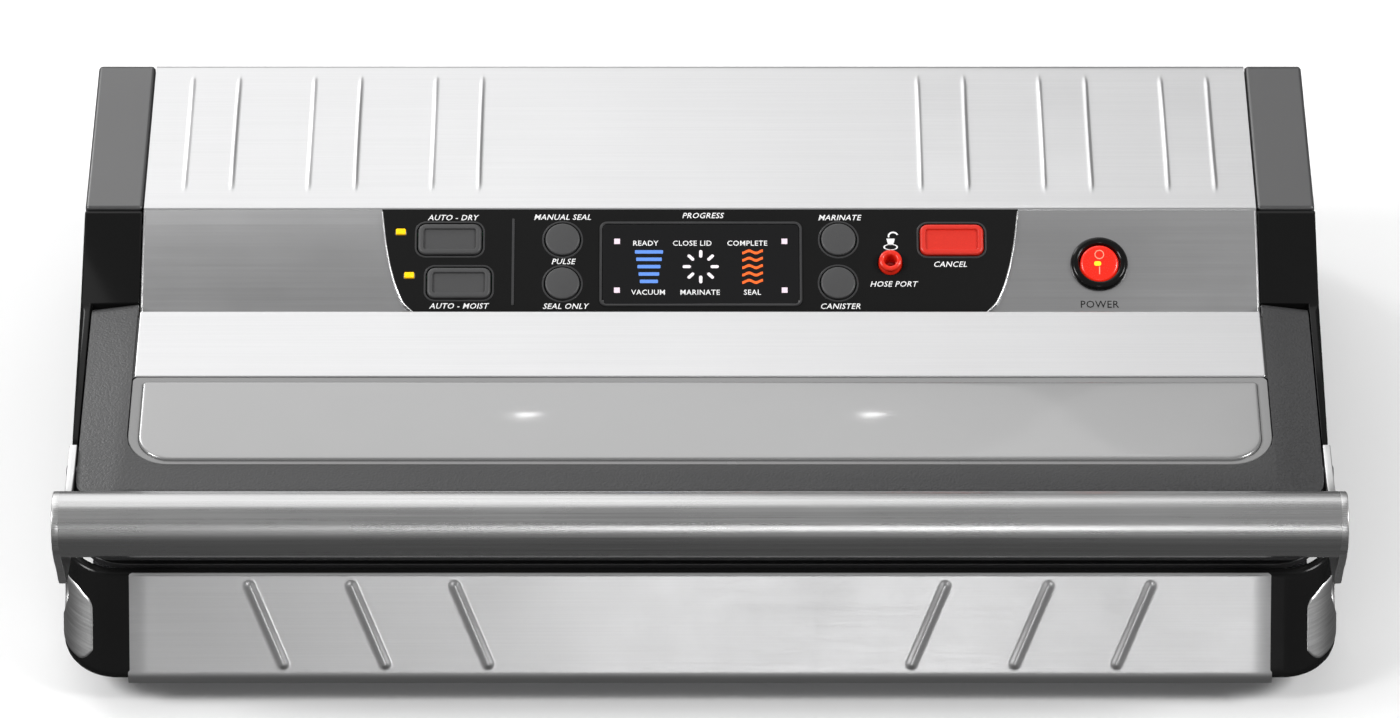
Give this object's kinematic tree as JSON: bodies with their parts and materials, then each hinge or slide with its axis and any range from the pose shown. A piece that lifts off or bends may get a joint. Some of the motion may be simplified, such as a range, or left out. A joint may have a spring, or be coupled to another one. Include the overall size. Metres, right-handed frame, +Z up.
{
  "type": "vacuum chamber sealer",
  "caption": "Countertop vacuum sealer with a hinged windowed lid, a full-width bar handle, a sloping control panel and stainless covers on a black housing.",
  "frame": {"origin": "on the table under the middle of the machine's overall box", "axes": "+X to the right of a person at the front, +Y towards the back, +Z up"},
  "size_m": [0.496, 0.297, 0.1205],
  "materials": {
    "brushed_steel": "stainless sheet brushed along the machine's width",
    "inlay_steel": "brushed inlay",
    "handle_steel": "brushed round tube",
    "arm_steel": "fine brushed plate",
    "textured_black": "fine spark-textured moulding",
    "gloss_black": "glossy moulding",
    "satin_black": "satin moulding",
    "smoked_clear": "smoked clear moulding",
    "overlay_black": "glossy printed overlay",
    "display": "dark display window",
    "button_grey": "soft matte cap",
    "button_red": "satin cap",
    "amber": "lit lens",
    "port_red": "gloss",
    "rocker_red": "translucent lit rocker",
    "rubber": "matte",
    "gasket": "soft foam rubber",
    "silicone": "matte silicone",
    "element": "flat resistance wire",
    "release_tape": "coated glass cloth",
    "zinc": "zinc plated",
    "core_iron": "varnished laminations",
    "pump_metal": "die cast",
    "board": "printed board",
    "inner_plastic": "moulded",
    "hose": "clear flexible tube"
  },
  "bodies": {
    "base": {"bottom_pan": "zinc", "base_housing": "gloss_black", "front_sheet": "brushed_steel", "side_inlay_left": "inlay_steel", "side_inlay_right": "inlay_steel", "foot_front_left": "rubber", "foot_front_right": "rubber", "foot_rear_left": "rubber", "foot_rear_right": "rubber", "chamber_deck": "satin_black", "lower_gasket": "gasket", "seal_bar": "satin_black", "heating_element": "element", "release_tape": "release_tape", "bulkhead": "gloss_black", "lid_switch": "inner_plastic", "hinge_pin_left": "zinc", "hinge_pin_right": "zinc", "control_sheet": "brushed_steel", "control_overlay": "overlay_black", "display_window": "display", "indicator_dry": "amber", "indicator_moist": "amber", "accessory_port": "port_red", "switch_bezel": "satin_black", "circuit_board": "board", "rear_cover": "brushed_steel", "rear_cap_left": "satin_black", "rear_cap_right": "satin_black", "side_trim_left": "gloss_black", "side_trim_right": "gloss_black", "back_panel": "satin_black", "mains_inlet": "inner_plastic", "transformer": "core_iron", "pump_motor": "pump_metal", "pump_head_left": "pump_metal", "pump_head_right": "pump_metal", "solenoid_valve": "inner_plastic", "pump_hose": "hose", "chamber_hose": "hose"},
    "lid": {"lid_frame": "textured_black", "lid_window": "smoked_clear", "lid_strip": "brushed_steel", "lid_liner": "satin_black", "upper_gasket": "gasket", "pressure_strip": "silicone", "handle_tube": "handle_steel", "arm_plate_left": "arm_steel", "arm_plate_right": "arm_steel"},
    "power_rocker": {"power_rocker": "rocker_red"},
    "pump_shaft": {"pump_shaft": "zinc"},
    "pump_rod_left": {"pump_rod_left": "pump_metal"},
    "pump_rod_right": {"pump_rod_right": "pump_metal"},
    "button_dry": {"button_dry": "button_grey"},
    "button_moist": {"button_moist": "button_grey"},
    "button_manual": {"button_manual": "button_grey"},
    "button_seal": {"button_seal": "button_grey"},
    "button_marinate": {"button_marinate": "button_grey"},
    "button_canister": {"button_canister": "button_grey"},
    "button_cancel": {"button_cancel": "button_red"}
  },
  "joints": [
    {"name": "lid_hinge", "type": "hinge", "parent": "base", "child": "lid", "pos_m": [0, 0.012, 0.079], "axis": [-1, 0, 0], "range_deg": [0, 65]},
    {"name": "button_dry_press", "type": "slide", "parent": "base", "child": "button_dry", "axis": [0, 0.4226, -0.9063], "range_m": [0, 0.0012], "stiffness_N_per_m": 400, "springref_m": -0.001},
    {"name": "button_moist_press", "type": "slide", "parent": "base", "child": "button_moist", "axis": [0, 0.4226, -0.9063], "range_m": [0, 0.0012], "stiffness_N_per_m": 400, "springref_m": -0.001},
    {"name": "button_manual_press", "type": "slide", "parent": "base", "child": "button_manual", "axis": [0, 0.4226, -0.9063], "range_m": [0, 0.0012], "stiffness_N_per_m": 400, "springref_m": -0.001},
    {"name": "button_seal_press", "type": "slide", "parent": "base", "child": "button_seal", "axis": [0, 0.4226, -0.9063], "range_m": [0, 0.0012], "stiffness_N_per_m": 400, "springref_m": -0.001},
    {"name": "button_marinate_press", "type": "slide", "parent": "base", "child": "button_marinate", "axis": [0, 0.4226, -0.9063], "range_m": [0, 0.0012], "stiffness_N_per_m": 400, "springref_m": -0.001},
    {"name": "button_canister_press", "type": "slide", "parent": "base", "child": "button_canister", "axis": [0, 0.4226, -0.9063], "range_m": [0, 0.0012], "stiffness_N_per_m": 400, "springref_m": -0.001},
    {"name": "button_cancel_press", "type": "slide", "parent": "base", "child": "button_cancel", "axis": [0, 0.4226, -0.9063], "range_m": [0, 0.0012], "stiffness_N_per_m": 400, "springref_m": -0.001},
    {"name": "power_switch", "type": "hinge", "parent": "base", "child": "power_rocker", "pos_m": [0.1588, 0.03527, 0.08719], "axis": [-1, 0, 0], "range_deg": [0, 14]},
    {"name": "pump_turn", "type": "hinge", "parent": "base", "child": "pump_shaft", "pos_m": [0, 0.11, 0.05], "axis": [1, 0, 0], "continuous": true},
    {"name": "rod_stroke_left", "type": "slide", "parent": "base", "child": "pump_rod_left", "axis": [0, 1, 0], "range_m": [-0.0015, 0.0015]},
    {"name": "rod_stroke_right", "type": "slide", "parent": "base", "child": "pump_rod_right", "axis": [0, 1, 0], "range_m": [-0.0015, 0.0015]}
  ]
}
